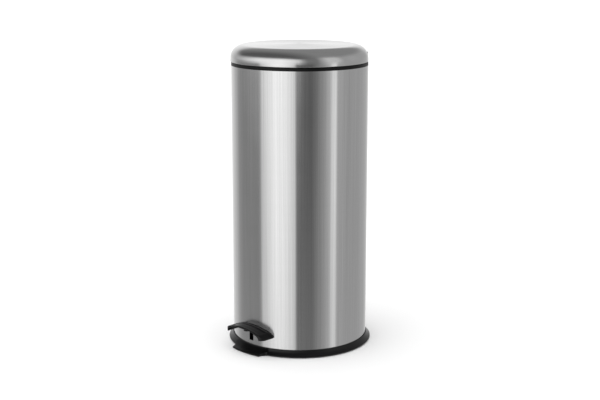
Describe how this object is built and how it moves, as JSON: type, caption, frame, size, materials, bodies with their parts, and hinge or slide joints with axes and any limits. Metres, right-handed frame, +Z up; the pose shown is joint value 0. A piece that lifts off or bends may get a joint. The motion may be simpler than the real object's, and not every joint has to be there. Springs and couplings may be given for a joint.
{
  "type": "pedal bin",
  "caption": "Round steel step bin with a domed lid on a rear hinge, a black foot ring and rim, an arched pedal, a lever and rod linkage, a soft-close damper and a lift-out bucket.",
  "frame": {"origin": "on the floor under the feet, on the axis of the round body", "axes": "+Z up, the pedal at the front towards -Y, the lid hinge at the back towards +Y, +X to the right seen from the front"},
  "size_m": [0.313, 0.35, 0.65],
  "materials": {
    "brushed_steel": "brushed stainless sheet, grain round the body",
    "black_plastic": "fine-grained moulded plastic",
    "pedal_plastic": "satin moulded plastic, worn a little on top",
    "liner_plastic": "moulded plastic",
    "grey_plastic": "moulded plastic",
    "bucket_plastic": "ribbed moulded plastic",
    "damper_plastic": "smooth moulded tube",
    "nylon": "natural nylon",
    "rubber": "matt rubber",
    "zinc_steel": "zinc-plated pressed steel",
    "black_steel": "steel bar, bent and welded, coated in satin black paint",
    "zinc_screw": "zinc-plated fasteners",
    "bright_pin": "bright drawn steel"
  },
  "bodies": {
    "bin": {"body_shell": "brushed_steel", "base_ring": "black_plastic", "rubber_feet": "rubber", "base_plate": "grey_plastic", "base_screws": "zinc_screw", "lever_bracket": "zinc_steel", "bracket_rivets": "zinc_screw", "lever_axle": "bright_pin", "axle_clip": "zinc_screw", "lower_rod_guide": "nylon", "upper_rod_guide": "nylon", "guide_rivets": "bright_pin", "damper_cylinder": "damper_plastic", "damper_cap": "nylon", "damper_clips": "grey_plastic", "top_rim": "black_plastic", "rear_housing": "black_plastic", "housing_screws": "zinc_screw", "hinge_pin": "bright_pin"},
    "pedal_arm": {"pedal_lever": "black_steel", "lever_bush": "nylon", "pedal": "pedal_plastic", "pedal_screws": "zinc_screw"},
    "rod": {"push_rod": "zinc_steel", "lever_pin": "bright_pin", "damper_arm": "zinc_steel", "damper_rod": "bright_pin"},
    "lid": {"lid_shell": "brushed_steel", "lid_liner": "liner_plastic", "lid_bumpers": "rubber", "lid_arm": "zinc_steel", "hinge_bush": "nylon", "crank_pin": "bright_pin", "arm_screws": "zinc_screw"},
    "bucket": {"bucket": "bucket_plastic"},
    "bail": {"bucket_bail": "bright_pin", "bail_grip": "grey_plastic"}
  },
  "joints": [
    {"name": "lid_hinge", "type": "hinge", "parent": "bin", "child": "lid", "pos_m": [0, 0.156, 0.618], "axis": [-1, 0, 0], "range_deg": [0, 80]},
    {"name": "pedal_pivot", "type": "hinge", "parent": "bin", "child": "pedal_arm", "pos_m": [0, -0.025, 0.035], "axis": [1, 0, 0], "range_deg": [0, 8.09]},
    {"name": "rod_slide", "type": "slide", "parent": "bin", "child": "rod", "axis": [0, 0, 1], "range_m": [0, 0.02314]},
    {"name": "bucket_lift", "type": "slide", "parent": "bin", "child": "bucket", "axis": [0, 0, 1], "range_m": [0, 0.004]},
    {"name": "bail_swing", "type": "hinge", "parent": "bucket", "child": "bail", "pos_m": [0, 0, 0.6093], "axis": [-1, 0, 0], "range_deg": [0, 1.5]}
  ],
  "couplings": [
    {"joint": "pedal_pivot", "follows": "lid_hinge", "ratio": 0.10114},
    {"joint": "rod_slide", "follows": "lid_hinge", "m_per_rad": 0.016573}
  ]
}
